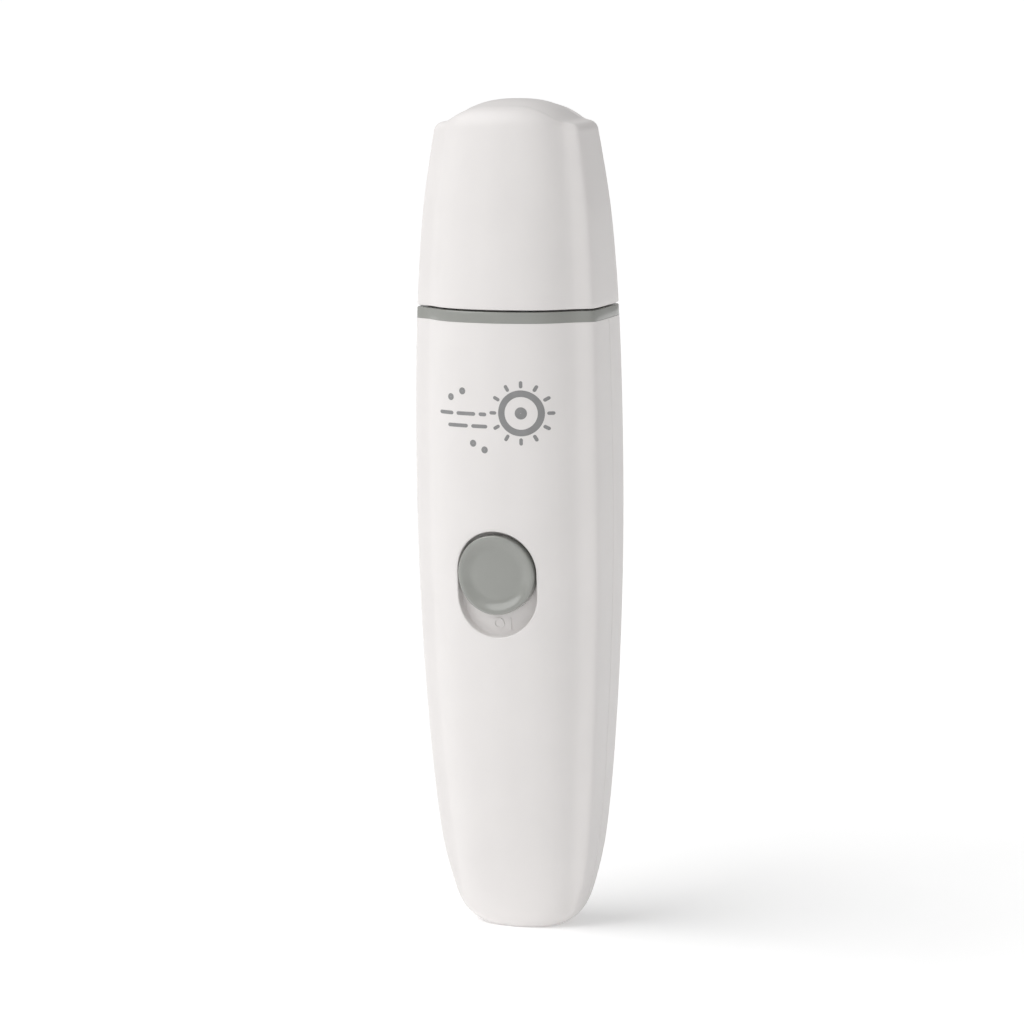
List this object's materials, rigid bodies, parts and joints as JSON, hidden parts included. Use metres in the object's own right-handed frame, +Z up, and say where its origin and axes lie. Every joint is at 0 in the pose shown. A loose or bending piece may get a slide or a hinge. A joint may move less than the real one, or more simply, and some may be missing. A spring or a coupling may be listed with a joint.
{
  "type": "pet nail grinder",
  "caption": "Battery-operated pet nail grinder: tapered two-shell handle with round slide switch, crosswise emery drum under a nail guard, and a closed pull-off cap.",
  "frame": {"origin": "centre of the flat base, on the surface it stands on", "axes": "+Z up the handle towards the cap; the switch faces -Y; +X is right when looking at the switch"},
  "size_m": [0.0424, 0.0343, 0.18],
  "materials": {
    "white_plastic": "satin, warm white, fine moulded texture",
    "grey_green_plastic": "glossy grey-green",
    "guard_plastic": "satin, warm white",
    "natural_plastic": "natural nylon",
    "black_plastic": "satin black",
    "board": "phenolic board",
    "steel": "zinc-plated or bare steel",
    "copper_windings": "steel laminations with copper windings",
    "brass": "bright",
    "ferrite": "dark ceramic magnet",
    "cell_jacket": "printed-look metal jacket without print",
    "emery_cloth": "brown emery grit on cloth",
    "rubber": "matte",
    "red_wire": "red insulation"
  },
  "bodies": {
    "handle": {"front_shell": "white_plastic", "rear_shell": "white_plastic", "trim_ring": "grey_green_plastic", "nail_guard": "guard_plastic", "neck": "guard_plastic", "battery_cradle": "natural_plastic", "motor_clamp": "natural_plastic", "wheel_carrier": "natural_plastic", "motor_end_bell": "black_plastic", "wire_pack_to_motor": "black_plastic", "switch_board": "board", "casing_screw_1": "steel", "casing_screw_2": "steel", "casing_screw_3": "steel", "casing_screw_4": "steel", "bottom_contact_plate": "steel", "top_contact_plate_left": "steel", "top_contact_plate_right": "steel", "bottom_contact_spring": "steel", "top_contact_spring": "steel", "motor_can": "steel", "motor_terminal_front": "brass", "motor_terminal_rear": "brass", "switch_contact_left": "brass", "switch_contact_right": "brass", "bushing_left": "brass", "bushing_right": "brass", "motor_magnet_left": "ferrite", "motor_magnet_right": "ferrite", "cell_1": "cell_jacket", "cell_2": "cell_jacket", "cell_3": "cell_jacket", "cell_4": "cell_jacket", "cap_grip_band": "rubber", "wire_switch_to_motor": "red_wire", "wire_pack_to_switch": "red_wire"},
    "cap": {"cap": "white_plastic"},
    "switch": {"switch_button": "grey_green_plastic", "switch_carriage": "black_plastic", "switch_wiper": "brass"},
    "battery_door": {"battery_door": "white_plastic"},
    "rotor": {"motor_shaft": "steel", "motor_armature": "copper_windings", "motor_commutator": "brass", "pinion": "brass"},
    "drum": {"drum_axle": "steel", "drum_hub": "natural_plastic", "emery_band": "emery_cloth", "crown_gear": "natural_plastic"}
  },
  "joints": [
    {"name": "cap_slide", "type": "slide", "parent": "handle", "child": "cap", "axis": [0, 0, 1], "range_m": [0, 0.06]},
    {"name": "switch_slide", "type": "slide", "parent": "handle", "child": "switch", "axis": [0, 0, -1], "range_m": [0, 0.0047]},
    {"name": "door_tilt", "type": "hinge", "parent": "handle", "child": "battery_door", "pos_m": [0, 0.0107, 0.0178], "axis": [-1, 0, 0], "range_deg": [0, 75]},
    {"name": "rotor_spin", "type": "hinge", "parent": "handle", "child": "rotor", "pos_m": [0.0046, 0, 0.14], "axis": [0, 0, 1], "continuous": true},
    {"name": "drum_spin", "type": "hinge", "parent": "handle", "child": "drum", "pos_m": [0, 0, 0.1615], "axis": [1, 0, 0], "continuous": true}
  ],
  "couplings": [
    {"joint": "drum_spin", "follows": "rotor_spin", "ratio": 0.4}
  ]
}
